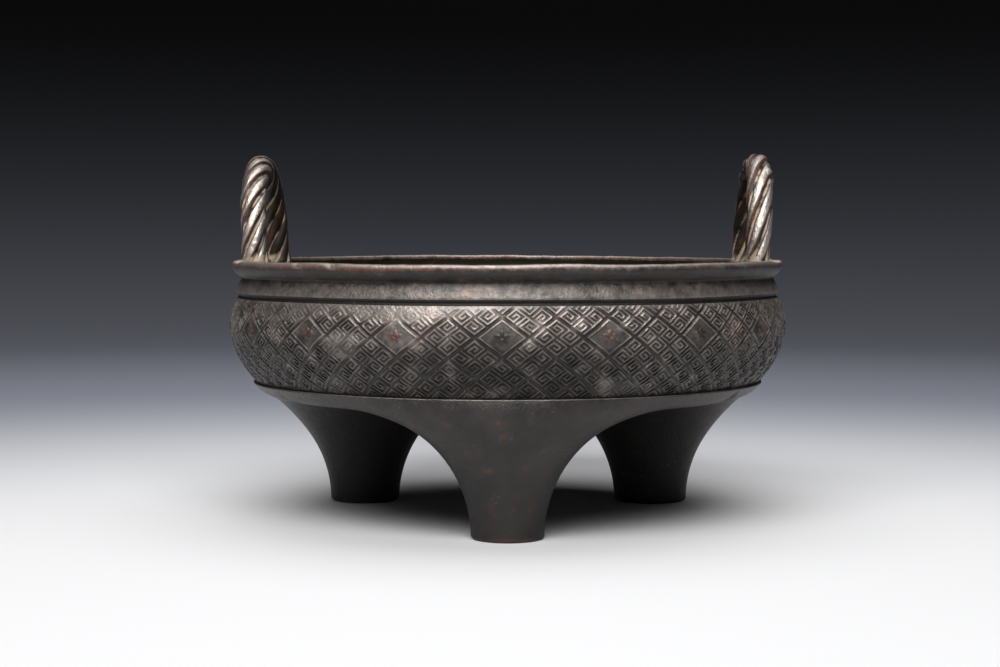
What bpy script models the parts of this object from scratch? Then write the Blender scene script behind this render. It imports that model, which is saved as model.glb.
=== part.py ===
"""A cast bronze tripod censer: a squat round bowl on three trumpet legs that meet in
round arches, with a diaper of lozenges round the belly, a collared neck, a flat lip
and two rope-twist loop handles standing on it. Metres, +Z up, front foot towards -Y."""

import math

import bmesh
import bpy
from mathutils import Matrix, Vector

# Bowl, measured as radii from the upright axis
BELLY_RADIUS = 0.0908
BELLY_FOOT_INSET = 0.0081
COLLAR_INSET = 0.0021
NECK_INSET = 0.0039
LIP_INSET = 0.0008
MOUTH_INSET = 0.0068
WALL = 0.0030
NECK_WALL = 0.0022
FLOOR = 0.0035
FLOOR_CORNER = 0.0090

# Bowl, heights from the ground up
UNDERSIDE_HEIGHT = 0.0390
BASE_HEIGHT = 0.0049
BASE_PROUD = 0.0005
GROOVE_WIDTH = 0.0008
GROOVE_DEPTH = 0.0006
LEDGE_HEIGHT = 0.0012
NECK_HEIGHT = 0.0047
LIP_FLARE_HEIGHT = 0.0025
LIP_THICKNESS = 0.0028
LIP_ROUND = 0.0009

# Diaper of lozenges, each one two lattice steps high
LOZENGES_PER_LEG = 12
LATTICE_STEP = 0.00596
LATTICE_ROWS = 4
WIDEST_ROW = 3
LATTICE_TURN = math.radians(-1)
RIDGE_HALF_WIDTH = 0.0011
RELIEF_DEPTH = 0.00060
FLOWER_RADIUS = 0.0021
FLOWER_HEIGHT = 0.00055
FLOWER_LOBES = 5

# Legs, the front one first and then anticlockwise
FOOT_RADII = (0.0111, 0.0123, 0.0117)
FOOT_CIRCLE_RADIUS = 0.0567
FOOT_EDGE = 0.0008
LEG_SOFTNESS = 0.0140

# Rope handles
ROPE_RADIUS = 0.0041
STRANDS = 5
STRAND_LEAD = 0.0410
STRAND_GROOVE = 0.0010
HANDLE_SPAN = 0.0480
HANDLE_UPRIGHT = 0.0070
LEFT_HANDLE_RISE = 0.0240
RIGHT_HANDLE_RISE = 0.0245
HANDLE_INSET = 0.0103
HANDLE_SEAT = 0.0010
HANDLE_LEAN = math.radians(3.2)
HANDLE_TURN = math.radians(-2)

# Fineness of the facets
LEG_COUNT = len(FOOT_RADII)
LOZENGES_ROUND = LOZENGES_PER_LEG * LEG_COUNT
SECTOR_COUNT = 2 * LOZENGES_PER_LEG
RING_COUNT = 2 * LOZENGES_ROUND
SIDE_RAYS = 5
LEG_STEPS = 10
INSIDE_COUNT = RING_COUNT // 2
UPRIGHT_SECTIONS = 2
ARCH_SECTIONS = 18
END_SECTIONS = 2
SEARCH_STEPS = 60
HALVINGS = 40
MERGE_DISTANCE = 1e-6

# Heights and radii that follow
BASE_TOP = UNDERSIDE_HEIGHT + BASE_HEIGHT
BELLY_FOOT = BASE_TOP + GROOVE_WIDTH
BELLY_WIDEST = BELLY_FOOT + WIDEST_ROW * LATTICE_STEP
BELLY_TOP = BELLY_FOOT + (LATTICE_ROWS + 0.5) * LATTICE_STEP
COLLAR_FOOT = BELLY_TOP + GROOVE_WIDTH + LEDGE_HEIGHT
NECK_TOP = COLLAR_FOOT + NECK_HEIGHT
LIP_FOOT = NECK_TOP + LIP_FLARE_HEIGHT
RIM_HEIGHT = LIP_FOOT + LIP_THICKNESS
BELLY_FOOT_RADIUS = BELLY_RADIUS - BELLY_FOOT_INSET
BASE_RADIUS = BELLY_FOOT_RADIUS + BASE_PROUD
COLLAR_RADIUS = BELLY_RADIUS - COLLAR_INSET
NECK_RADIUS = BELLY_RADIUS - NECK_INSET
LIP_RADIUS = BELLY_RADIUS - LIP_INSET
MOUTH_RADIUS = BELLY_RADIUS - MOUTH_INSET
BOWL_FLOOR = UNDERSIDE_HEIGHT + FLOOR
FRONT = math.radians(-90)
HALF_SECTOR = math.pi / LEG_COUNT
ARCH_REACH = FOOT_CIRCLE_RADIUS * math.sin(HALF_SECTOR)


def clear_scene():
    for obj in list(bpy.data.objects):
        bpy.data.objects.remove(obj, do_unlink=True)


def bronze_material():
    material = bpy.data.materials.new("bronze")
    material.use_nodes = True
    shader = material.node_tree.nodes["Principled BSDF"]
    shader.inputs["Base Color"].default_value = (0.060, 0.047, 0.040, 1)
    shader.inputs["Metallic"].default_value = 0.9
    shader.inputs["Roughness"].default_value = 0.42
    return material


def at(radius, angle, height):
    return Vector((radius * math.cos(angle), radius * math.sin(angle), height))


def belly_radius(height):
    """The belly's outline: full at its widest row, falling away as the square of the distance."""
    fall = (height - BELLY_WIDEST) / (BELLY_WIDEST - BELLY_FOOT)
    return BELLY_RADIUS - BELLY_FOOT_INSET * fall * fall


def belly_slope(height):
    """How fast the belly's radius grows with height."""
    span = BELLY_WIDEST - BELLY_FOOT
    return -2 * BELLY_FOOT_INSET * (height - BELLY_WIDEST) / (span * span)


def add_ring(bm, radius, height, count, turn=0.0):
    step = 2 * math.pi / count
    return [bm.verts.new(at(radius, turn + i * step, height)) for i in range(count)]


def bridge(bm, lower, upper):
    count = len(lower)
    for i in range(count):
        j = (i + 1) % count
        bm.faces.new((lower[i], lower[j], upper[j], upper[i]))


def bridge_to_half(bm, many, few):
    """Joins a ring to one with half as many points."""
    for i, point in enumerate(few):
        after = few[(i + 1) % len(few)]
        a, b, c = (many[(2 * i + k) % len(many)] for k in range(3))
        bm.faces.new((a, b, point))
        bm.faces.new((b, after, point))
        bm.faces.new((b, c, after))


def stack(bm, start, profile, turn):
    """Carries a ring through the (radius, height) points of a profile."""
    for radius, height in profile:
        ring = add_ring(bm, radius, height, len(start), turn)
        bridge(bm, start, ring)
        start = ring
    return start


def bezier(start, middle, end, share):
    back = 1 - share
    return tuple(
        back * back * a + 2 * back * share * b + share * share * c
        for a, b, c in zip(start, middle, end)
    )


class Diaper:
    """The belly band: a net of V-shaped ridges round sunk lozenges."""

    def __init__(self, bm):
        self.bm = bm
        self.points = {}
        self.cell = 2 * math.pi / LOZENGES_ROUND

    def point(self, quarter_column, half_row):
        """The ridge vertex at a quarter of a column and half a row, made once."""
        key = (quarter_column % (4 * LOZENGES_ROUND), half_row)
        if key not in self.points:
            angle = LATTICE_TURN + key[0] * self.cell / 4
            height = BELLY_FOOT + half_row * LATTICE_STEP / 2
            place = at(belly_radius(height), angle, height)
            self.points[key] = self.bm.verts.new(place)
        return self.points[key]

    def sunk(self, column, row, depth):
        """A vertex below the ridges, at a fractional column and row."""
        height = BELLY_FOOT + row * LATTICE_STEP
        angle = LATTICE_TURN + column * self.cell
        return self.bm.verts.new(at(belly_radius(height) - depth, angle, height))

    def ring(self, vertices, floor):
        count = len(vertices)
        for i in range(count):
            j = (i + 1) % count
            self.bm.faces.new((vertices[i], vertices[j], floor[j], floor[i]))

    def fan(self, edge, centre):
        for i, vertex in enumerate(edge):
            self.bm.faces.new((vertex, edge[(i + 1) % len(edge)], centre))

    def lozenge(self, corners, flower=False):
        """One cell from its corners, counted in quarter columns and half rows."""
        column = sum(c for c, _ in corners) / len(corners) / 4
        row = sum(r for _, r in corners) / len(corners) / 2
        ridge = [self.point(c, r) for c, r in corners]
        half_width = BELLY_RADIUS * self.cell / 2
        clear = half_width * LATTICE_STEP / math.hypot(half_width, LATTICE_STEP)
        keep = 1 - RIDGE_HALF_WIDTH / clear
        floor = [
            self.sunk(column + (c / 4 - column) * keep, row + (r / 2 - row) * keep, RELIEF_DEPTH)
            for c, r in corners
        ]
        self.ring(ridge, floor)
        if flower:
            self.flower(floor, column, row)
        else:
            self.fan(floor, self.sunk(column, row, RELIEF_DEPTH))

    def flower(self, floor, column, row):
        """A low lobed boss in the middle of a cell."""
        count = 2 * FLOWER_LOBES
        rim = []
        for i in range(count):
            angle = math.pi / 2 + i * 2 * math.pi / count
            reach = FLOWER_RADIUS * (1.0 if i % 2 == 0 else 0.62)
            across = -reach * math.cos(angle) / (BELLY_RADIUS * self.cell)
            up = reach * math.sin(angle) / LATTICE_STEP
            rim.append(self.sunk(column - across, row + up, RELIEF_DEPTH))
        self.fan(rim, self.sunk(column, row, RELIEF_DEPTH - FLOWER_HEIGHT))
        self.join_floor(floor, rim)

    def join_floor(self, outer, inner):
        """Fills between the cell's floor edge and the flower's rim, both in turn."""
        edges = [self.bm.edges.get((outer[i], outer[(i + 1) % len(outer)])) for i in range(len(outer))]
        edges += [self.bm.edges.get((inner[i], inner[(i + 1) % len(inner)])) for i in range(len(inner))]
        bmesh.ops.bridge_loops(self.bm, edges=edges)

    def build(self):
        top = 2 * LATTICE_ROWS + 1
        front_column = 3 * LOZENGES_ROUND // 4
        for i in range(LOZENGES_ROUND):
            flowered = (i - front_column) % 2 == 0
            for row in range(1, LATTICE_ROWS):
                centre = 4 * i + (0 if row % 2 else 2)
                corners = [
                    (centre - 2, 2 * row),
                    (centre, 2 * row - 2),
                    (centre + 2, 2 * row),
                    (centre, 2 * row + 2),
                ]
                self.lozenge(corners, flower=flowered and row == WIDEST_ROW)
            last = 4 * i + (0 if LATTICE_ROWS % 2 else 2)
            self.lozenge(
                [
                    (last - 2, top - 1),
                    (last, top - 3),
                    (last + 2, top - 1),
                    (last + 1, top),
                    (last - 1, top),
                ]
            )
            self.bm.faces.new(
                (self.point(last + 2, top - 1), self.point(last + 3, top), self.point(last + 1, top))
            )
            self.lozenge([(4 * i, 0), (4 * i + 2, 0), (4 * i + 4, 0), (4 * i + 2, 2)])
        foot = [self.point(2 * i, 0) for i in range(RING_COUNT)]
        head = [self.point(2 * i + 1, top) for i in range(RING_COUNT)]
        return foot, head


def soft_max(a, b):
    """The greater of two distances, with the corner between them rounded off."""
    blend = max(LEG_SOFTNESS - abs(a - b), 0.0)
    return max(a, b) + blend * blend / (4 * LEG_SOFTNESS)


def arch_distance(reach, height, foot_radius):
    """How deep a point lies in the elliptic arch beside a leg, and below 0 in the bronze."""
    across = max(ARCH_REACH - reach, 0.0) / (ARCH_REACH - foot_radius)
    return UNDERSIDE_HEIGHT * (1 - math.hypot(across, height / UNDERSIDE_HEIGHT))


def first_inside(test, low, high):
    """The lowest value from which test is no longer above 0."""
    step = (high - low) / SEARCH_STEPS
    value = low
    while test(value) > 0 and value < high:
        value += step
    low, high = max(value - step, low), value
    for _ in range(HALVINGS):
        middle = (low + high) / 2
        if test(middle) > 0:
            low = middle
        else:
            high = middle
    return high


def wall_limit():
    """The radius of the upright wall that the rounding brings to the base's own radius."""
    above = UNDERSIDE_HEIGHT - BASE_TOP

    def short(limit):
        return soft_max(above, BASE_RADIUS - limit)

    return first_inside(short, BASE_RADIUS, BASE_RADIUS + LEG_SOFTNESS)


class Leg:
    """The underside of one sector of the bowl, drawn down into a leg."""

    def __init__(self, bm, angle, foot_radius, limit):
        self.bm = bm
        self.angle = angle
        self.foot_radius = foot_radius
        self.limit = limit

    def void(self, reach, bearing, height):
        x = FOOT_CIRCLE_RADIUS + reach * math.cos(bearing)
        y = reach * math.sin(bearing)
        beside = arch_distance(reach, height, self.foot_radius)
        return soft_max(beside, math.hypot(x, y) - self.limit)

    def edge_points(self):
        """(bearing, reach, height) of the sector's edge, all the way round the leg."""
        points = []
        for i in range(SECTOR_COUNT + 1):
            angle = (2 * i / SECTOR_COUNT - 1) * HALF_SECTOR
            x = BASE_RADIUS * math.cos(angle) - FOOT_CIRCLE_RADIUS
            y = BASE_RADIUS * math.sin(angle)
            points.append((math.atan2(y, x), math.hypot(x, y), BASE_TOP))
        corner = points[-1][0]
        slant = math.tan(HALF_SECTOR)
        side = []
        for i in range(1, SIDE_RAYS + 1):
            bearing = corner + (math.pi - corner) * i / SIDE_RAYS
            reach = slant * FOOT_CIRCLE_RADIUS / (math.sin(bearing) - slant * math.cos(bearing))
            height = first_inside(lambda z: self.void(reach, bearing, z), 0.0, BASE_TOP)
            side.append((bearing, reach, height))
        mirrored = [(-bearing, reach, height) for bearing, reach, height in side[-2::-1]]
        return points + side + mirrored

    def ray(self, bearing, reach, height):
        """Vertices from the foot's edge out to one point of the sector's edge."""
        start = math.pi - math.atan2(FOOT_EDGE, ARCH_REACH - self.foot_radius)
        end = math.atan2(height, reach - ARCH_REACH)
        places = [(self.foot_radius - FOOT_EDGE, 0.0)]
        for i in range(LEG_STEPS):
            slope = start + (end - start) * i / LEG_STEPS
            run, rise = math.cos(slope), math.sin(slope)
            length = first_inside(
                lambda t: self.void(abs(ARCH_REACH + t * run), bearing, t * rise),
                0.0,
                2 * (ARCH_REACH + UNDERSIDE_HEIGHT),
            )
            places.append((ARCH_REACH + length * run, length * rise))
        places.append((reach, height))
        turn = Matrix.Rotation(self.angle, 3, "Z")
        vertices = []
        for out, up in places:
            x = FOOT_CIRCLE_RADIUS + out * math.cos(bearing)
            vertices.append(self.bm.verts.new(turn @ Vector((x, out * math.sin(bearing), up))))
        return vertices

    def build(self):
        rays = [self.ray(*point) for point in self.edge_points()]
        for i, ray in enumerate(rays):
            after = rays[(i + 1) % len(rays)]
            for a, b, c, d in zip(ray, ray[1:], after[1:], after):
                self.bm.faces.new((a, b, c, d))
        self.bm.faces.new([ray[0] for ray in rays])


def outside_profile():
    """(radius, height) from the groove over the belly to the lip's top edge."""
    return [
        (belly_radius(BELLY_TOP) - GROOVE_DEPTH, BELLY_TOP + GROOVE_WIDTH / 2),
        (COLLAR_RADIUS - GROOVE_DEPTH, BELLY_TOP + GROOVE_WIDTH),
        (COLLAR_RADIUS, COLLAR_FOOT),
        (NECK_RADIUS, NECK_TOP),
        (LIP_RADIUS - LIP_ROUND / 2, LIP_FOOT),
        (LIP_RADIUS, RIM_HEIGHT - LIP_ROUND),
        (LIP_RADIUS - LIP_ROUND, RIM_HEIGHT),
        (MOUTH_RADIUS + LIP_ROUND / 2, RIM_HEIGHT),
        (MOUTH_RADIUS, RIM_HEIGHT - LIP_ROUND / 2),
    ]


def inside_profile():
    """(radius, height) of the hollow, from below the lip's inner edge to the flat floor."""
    turn_height = BOWL_FLOOR + FLOOR_CORNER
    wall_end = (belly_radius(turn_height) - WALL, turn_height)
    corner = (wall_end[0] - belly_slope(turn_height) * FLOOR_CORNER, BOWL_FLOOR)
    floor_edge = (corner[0] - FLOOR_CORNER, BOWL_FLOOR)
    profile = [
        (MOUTH_RADIUS, LIP_FOOT + LIP_THICKNESS / 2),
        (NECK_RADIUS - NECK_WALL, LIP_FOOT),
        (NECK_RADIUS - NECK_WALL, NECK_TOP),
        (COLLAR_RADIUS - WALL, COLLAR_FOOT),
    ]
    for row in (LATTICE_ROWS, WIDEST_ROW, WIDEST_ROW - 1):
        height = BELLY_FOOT + row * LATTICE_STEP
        if turn_height < height < COLLAR_FOOT:
            profile.append((belly_radius(height) - WALL, height))
    profile.append(wall_end)
    profile += [bezier(wall_end, corner, floor_edge, share) for share in (0.3, 0.65)]
    profile.append(floor_edge)
    return profile


def bowl_mesh():
    bm = bmesh.new()
    foot, head = Diaper(bm).build()
    base = add_ring(bm, BASE_RADIUS, BASE_TOP, RING_COUNT)
    groove = add_ring(bm, BELLY_FOOT_RADIUS - GROOVE_DEPTH, BELLY_FOOT - GROOVE_WIDTH / 2, RING_COUNT)
    bridge(bm, base, groove)
    bridge(bm, groove, foot)
    limit = wall_limit()
    for i, foot_radius in enumerate(FOOT_RADII):
        Leg(bm, FRONT + 2 * i * HALF_SECTOR, foot_radius, limit).build()
    turn = LATTICE_TURN + math.pi / RING_COUNT
    mouth = stack(bm, head, outside_profile(), turn)
    inside = inside_profile()
    first = add_ring(bm, inside[0][0], inside[0][1], INSIDE_COUNT, turn)
    bridge_to_half(bm, mouth, first)
    floor = stack(bm, first, inside[1:], turn)
    bm.faces.new(floor)
    bmesh.ops.remove_doubles(bm, verts=bm.verts, dist=MERGE_DISTANCE)
    bmesh.ops.recalc_face_normals(bm, faces=bm.faces)
    return bm


def handle_path(rise):
    """(sideways, up, turn of the rope's direction from upright) along the middle of one handle."""
    half = HANDLE_SPAN / 2
    places = []
    for i in range(UPRIGHT_SECTIONS):
        places.append((-half, HANDLE_UPRIGHT * i / UPRIGHT_SECTIONS, 0.0))
    for i in range(ARCH_SECTIONS + 1):
        angle = math.pi * i / ARCH_SECTIONS
        lean = math.atan2(half * math.sin(angle), rise * math.cos(angle))
        places.append((-half * math.cos(angle), HANDLE_UPRIGHT + rise * math.sin(angle), lean))
    for i in reversed(range(UPRIGHT_SECTIONS)):
        places.append((half, HANDLE_UPRIGHT * i / UPRIGHT_SECTIONS, math.pi))
    return places


def rope_section(twist, size):
    """Points round one section of the rope: each strand has a crown, two shoulders and a groove."""
    reaches = (0.0, 0.25, 1.0, 0.25)
    points = []
    for i in range(len(reaches) * STRANDS):
        angle = twist + 2 * math.pi * i / (len(reaches) * STRANDS)
        reach = (ROPE_RADIUS - STRAND_GROOVE * reaches[i % len(reaches)]) * size
        points.append((reach * math.cos(angle), reach * math.sin(angle)))
    return points


def handle_sections(rise):
    """(sideways, up, lean, distance along, size) from one rounded end to the other."""
    path = handle_path(rise)
    distance = 0.0
    sections = []
    for i, (side, up, lean) in enumerate(path):
        if i:
            distance += math.hypot(side - path[i - 1][0], up - path[i - 1][1])
        sections.append((side, up, lean, distance, 1.0))
    start, end = [], []
    for i in range(1, END_SECTIONS + 1):
        angle = math.pi / 2 * i / (END_SECTIONS + 0.5)
        drop = ROPE_RADIUS * math.sin(angle)
        start.insert(0, (path[0][0], path[0][1] - drop, 0.0, -drop, math.cos(angle)))
        end.append((path[-1][0], path[-1][1] - drop, math.pi, distance + drop, math.cos(angle)))
    return start + sections + end


def add_handle(name, side, rise, material):
    """One rope loop standing on the lip, at +X for side 1 and at -X for side -1."""
    place = Matrix.Rotation(HANDLE_TURN, 4, "Z")
    place @= Matrix.Translation((side * (LIP_RADIUS - HANDLE_INSET), 0, RIM_HEIGHT - HANDLE_SEAT))
    place @= Matrix.Rotation(side * HANDLE_LEAN, 4, "Y")
    bm = bmesh.new()
    rings = []
    for sideways, up, lean, distance, size in handle_sections(rise):
        normal = Vector((0, -math.cos(lean), math.sin(lean)))
        middle = Vector((0, sideways, up))
        ring = []
        for a, b in rope_section(2 * math.pi * distance / STRAND_LEAD, size):
            ring.append(bm.verts.new(place @ (middle + a * normal + b * Vector((1, 0, 0)))))
        rings.append(ring)
    for lower, upper in zip(rings, rings[1:]):
        bridge(bm, lower, upper)
    bm.faces.new(rings[0])
    bm.faces.new(rings[-1])
    bmesh.ops.recalc_face_normals(bm, faces=bm.faces)
    handle = add_object(bm, name, material)
    handle.hide_render = True
    handle.display_type = "WIRE"
    return handle


def add_object(bm, name, material):
    mesh = bpy.data.meshes.new(name)
    bm.to_mesh(mesh)
    bm.free()
    mesh.materials.append(material)
    mesh.shade_smooth()
    mesh.set_sharp_from_angle(angle=math.radians(30))
    obj = bpy.data.objects.new(name, mesh)
    bpy.context.scene.collection.objects.link(obj)
    return obj


def join(obj, other):
    """Casts another shape onto an object as one body."""
    union = obj.modifiers.new("cast_on_" + other.name, "BOOLEAN")
    union.operation = "UNION"
    union.solver = "EXACT"
    union.object = other


def main():
    clear_scene()
    bronze = bronze_material()
    censer = add_object(bowl_mesh(), "censer", bronze)
    join(censer, add_handle("handle_left", -1, LEFT_HANDLE_RISE, bronze))
    join(censer, add_handle("handle_right", 1, RIGHT_HANDLE_RISE, bronze))


main()
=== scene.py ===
"""A cast bronze tripod incense burner: the bowl with its lip and legs, the carved diaper round
the belly, the two rope loops and the brown patina, on a pale studio floor."""

import math

import bmesh
import bpy
import numpy as np
from bpy.props import FloatProperty, FloatVectorProperty, IntProperty, PointerProperty
from mathutils import Matrix, Vector, noise


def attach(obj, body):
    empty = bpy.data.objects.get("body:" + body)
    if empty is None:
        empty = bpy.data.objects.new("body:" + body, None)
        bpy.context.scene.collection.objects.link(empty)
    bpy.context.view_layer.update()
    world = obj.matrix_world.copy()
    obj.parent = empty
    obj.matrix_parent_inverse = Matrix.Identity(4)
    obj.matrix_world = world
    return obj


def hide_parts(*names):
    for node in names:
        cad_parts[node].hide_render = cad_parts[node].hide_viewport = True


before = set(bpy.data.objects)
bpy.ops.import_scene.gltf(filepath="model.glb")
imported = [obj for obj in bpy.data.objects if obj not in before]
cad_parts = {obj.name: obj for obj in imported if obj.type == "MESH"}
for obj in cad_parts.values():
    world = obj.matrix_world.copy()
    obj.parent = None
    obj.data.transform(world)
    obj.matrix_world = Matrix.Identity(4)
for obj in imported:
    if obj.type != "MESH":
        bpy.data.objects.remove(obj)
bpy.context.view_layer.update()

bl_info = {
    "name": "Bronze Tripod Incense Burner",
    "version": (1, 0, 0),
    "blender": (4, 5, 0),
    "location": "View3D > Sidebar > Censer",
    "description": "Models a carved bronze tripod censer with rope handles and its patina",
    "category": "Object",
}

FRONT = math.radians(-90)
PHOTO_WIDTH = 1000


def length(name, text, default):
    return FloatProperty(name=name, description=text, default=default, unit="LENGTH", precision=5)


def angle(name, text, degrees):
    start = math.radians(degrees)
    return FloatProperty(name=name, description=text, default=start, subtype="ANGLE")


def colour(name, text, start):
    return FloatVectorProperty(name=name, description=text, default=start, size=3, subtype="COLOR")


def power(name, text, default):
    return FloatProperty(name=name, description=text, default=default, unit="POWER")


class CenserSizes(bpy.types.PropertyGroup):
    """Sizes of the casting."""

    belly_radius: length("Belly radius", "Greatest radius of the bowl", 0.0908)
    belly_foot_inset: length("Belly foot inset", "How far the belly draws in at its foot", 0.0081)
    collar_inset: length("Collar inset", "Collar's foot inside the belly radius", 0.0021)
    neck_inset: length("Neck inset", "Top of the neck inside the belly radius", 0.0039)
    lip_inset: length("Lip inset", "Lip's edge inside the belly radius", 0.0008)
    mouth_inset: length("Mouth inset", "Mouth's edge inside the belly radius", 0.0068)
    wall: length("Wall", "Thickness of the bowl's wall", 0.0030)
    neck_wall: length("Neck wall", "Thickness of the neck's wall", 0.0022)
    floor: length("Floor", "Thickness of the bowl's floor", 0.0035)
    floor_corner: length("Floor corner", "Round between floor and wall", 0.0090)
    underside: length("Underside", "Height of the bowl's underside", 0.0390)
    base_height: length("Base height", "Underside to the belly's foot line", 0.0049)
    base_proud: length("Base proud", "How far the base's edge stands out", 0.0005)
    groove_width: length("Groove width", "Width of the cut lines", 0.0008)
    groove_depth: length("Groove depth", "Depth of the cut lines", 0.0006)
    ledge: length("Ledge", "Height of the ledge under the collar", 0.0012)
    neck_height: length("Neck height", "Height of the neck", 0.0047)
    lip_flare: length("Lip flare", "Height of the hollow under the lip", 0.0025)
    lip_thickness: length("Lip thickness", "Height of the lip's face", 0.0028)
    lip_round: length("Lip round", "Round of the lip's edge", 0.0009)
    foot_front: length("Front foot", "Radius of the front foot", 0.0111)
    foot_right: length("Right foot", "Radius of the right rear foot", 0.0123)
    foot_left: length("Left foot", "Radius of the left rear foot", 0.0117)
    foot_circle: length("Foot circle", "Axis of the bowl to the middle of a foot", 0.0567)
    foot_edge: length("Foot edge", "Worn round of a foot's edge", 0.0008)
    leg_softness: length("Leg softness", "Round between legs and bowl", 0.0140)


class DiaperSizes(bpy.types.PropertyGroup):
    """Sizes of the carved lozenge pattern."""

    lozenges: IntProperty(name="Lozenges", description="Lozenges round the belly", default=36)
    rows: IntProperty(name="Rows", description="Half lozenges up the belly", default=4)
    flower_row: IntProperty(name="Flower row", description="Row that holds the flowers", default=3)
    step: length("Step", "Half the height of a lozenge", 0.00596)
    turn: angle("Turn", "Turn of the pattern about the axis", -1)
    depth: length("Depth", "Depth of the carving", 0.00046)
    channel: length("Channel", "Half the width of the sunk lattice between lozenges", 0.00052)
    bevel: length("Bevel", "Slope at each side of a raised line", 0.00010)
    flower_radius: length("Flower radius", "Reach of a petal", 0.0023)
    thickness: length("Thickness", "Depth to which the carved skin is modelled", 0.0009)


class RopeSizes(bpy.types.PropertyGroup):
    """Sizes of the rope loops."""

    radius: length("Rope radius", "Radius over the strands' crowns", 0.0041)
    strands: IntProperty(name="Strands", description="Strands in the rope", default=5)
    groove: length("Strand groove", "Depth of the groove between two strands", 0.0010)
    left_lead: length("Left lead", "Length of a strand's full turn, left loop", 0.0380)
    right_lead: length("Right lead", "Length of a strand's full turn, right loop", 0.0600)
    left_phase: angle("Left phase", "Where the left loop's strands start", -47)
    right_phase: angle("Right phase", "Where the right loop's strands start", 0)
    span: length("Span", "Between the middles of a loop's uprights", 0.0480)
    upright: length("Upright", "Straight part of the uprights", 0.0070)
    left_rise: length("Left rise", "Rise of the left loop's arch", 0.0240)
    right_rise: length("Right rise", "Rise of the right loop's arch", 0.0245)
    inset: length("Inset", "Lip's edge to the middle of the rope", 0.0103)
    seat: length("Seat", "How deep the rope sinks into the lip", 0.0010)
    lean: angle("Lean", "Outward lean of the loops", 3.2)
    turn: angle("Turn", "Turn of both loops about the axis", -2)


class PatinaColours(bpy.types.PropertyGroup):
    """Colours of the bronze."""

    dark: colour("Dark brown", "Deepest patina", (0.020, 0.0170, 0.0150))
    brown: colour("Grey brown", "Most of the patina", (0.039, 0.0335, 0.0310))
    copper: colour("Copper brown", "Where the patina is rubbed thin", (0.105, 0.040, 0.024))
    # Worn metal, and also the colour of the painted highlights.
    bare: colour("Bare bronze", "Where hands have rubbed down to the metal", (0.49, 0.43, 0.39))
    residue: colour("Residue", "Pale dirt in the hollows", (0.47, 0.38, 0.28))
    olive: colour("Olive brown", "Sheltered sides", (0.036, 0.028, 0.016))


class StudioSettings(bpy.types.PropertyGroup):
    """Camera, floor and light."""

    distance: length("Distance", "Camera to the bowl's axis", 0.6492)
    height: length("Height", "Camera above the floor", 0.0943)
    focal: FloatProperty(name="Focal length", description="In pixels of the picture", default=1975)
    tilt: angle("Tilt", "Camera's look below the level", 3.13)
    swing: angle("Swing", "Camera's look to the left of the bowl", 0.22)
    floor_radius: length("Floor radius", "Flat part of the floor", 0.9)
    sweep: length("Sweep", "Radius of the floor's curve up into the wall", 1.5)
    # The floor's colour fades from pale to these darker colours away from a point in front of the
    # bowl: painted fall-off of the light.
    floor_colour: colour("Floor colour", "Pale studio paper", (0.78, 0.78, 0.79))
    middle_falloff_colour: colour("Middle colour", "The paper behind the bowl", (0.310, 0.327, 0.388))
    far_falloff_colour: colour("Backdrop colour", "The paper's far part", (0.020, 0.020, 0.022))
    fade_ahead: length("Fade ahead", "The fade's middle in front of the bowl's axis", 0.18)
    middle_start: length("Middle start", "Where the paper starts to darken", 0.18)
    middle_end: length("Middle end", "Where it has reached the middle colour", 0.68)
    backdrop_start: length("Backdrop start", "Where the middle colour ends", 1.33)
    backdrop_end: length("Backdrop end", "Where it has reached the backdrop's colour", 2.10)
    key_power: power("Key power", "Front soft box", 6.2)
    top_power: power("Top power", "Overhead soft box", 2.6)


class Form:
    """Heights and radii that follow from the sizes."""

    def __init__(self, scene):
        s = self.sizes = scene.censer_sizes
        d = self.diaper = scene.censer_diaper
        self.base_top = s.underside + s.base_height
        self.belly_foot = self.base_top + s.groove_width
        self.widest = self.belly_foot + d.flower_row * d.step
        self.belly_top = self.belly_foot + (d.rows + 0.5) * d.step
        self.collar_foot = self.belly_top + s.groove_width + s.ledge
        self.neck_top = self.collar_foot + s.neck_height
        self.lip_foot = self.neck_top + s.lip_flare
        self.rim = self.lip_foot + s.lip_thickness
        self.foot_radius = s.belly_radius - s.belly_foot_inset
        self.base_radius = self.foot_radius + s.base_proud
        self.collar = s.belly_radius - s.collar_inset
        self.neck = s.belly_radius - s.neck_inset
        self.lip = s.belly_radius - s.lip_inset
        self.mouth = s.belly_radius - s.mouth_inset
        self.bowl_floor = s.underside + s.floor

    def belly(self, height):
        """The belly's radius at a height."""
        fall = (height - self.widest) / (self.widest - self.belly_foot)
        return self.sizes.belly_radius - self.sizes.belly_foot_inset * fall * fall

    def belly_slope(self, height):
        """How fast that radius grows with the height."""
        span = self.widest - self.belly_foot
        return -2 * self.sizes.belly_foot_inset * (height - self.widest) / (span * span)


# The casting's own unevenness, as (waves round, size, phase) outwards and upwards: the same for
# every piece, so that they stay together, and full from one height and reach on.

SWAY_ROUND = ((0, 0.00052, math.pi), (2, 0.00012, 0.4), (3, 0.00010, 1.9), (5, 0.00006, 3.1))
SWAY_UP = ((0, 0.00025, math.pi), (2, 0.00012, 2.2), (3, 0.00008, 0.6), (7, 0.00005, 4.0))
SWAY_FULL = 0.08
SWAY_CORE = 0.05


def hand_made(points):
    """Draws points a little out of true round and level, and leaves the ground where it is."""
    points = points.copy()
    bearing = np.arctan2(points[:, 1], points[:, 0])
    reach = np.hypot(points[:, 0], points[:, 1])
    out = sum(size * np.cos(count * bearing + phase) for count, size, phase in SWAY_ROUND)
    up = sum(size * np.cos(count * bearing + phase) for count, size, phase in SWAY_UP)
    raised = np.clip(points[:, 2] / SWAY_FULL, 0, 1)
    points[:, :2] *= (1 + out * raised / np.maximum(reach, SWAY_CORE))[:, None]
    points[:, 2] += up * raised * np.clip(reach / SWAY_FULL, 0, 1)
    return points


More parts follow.
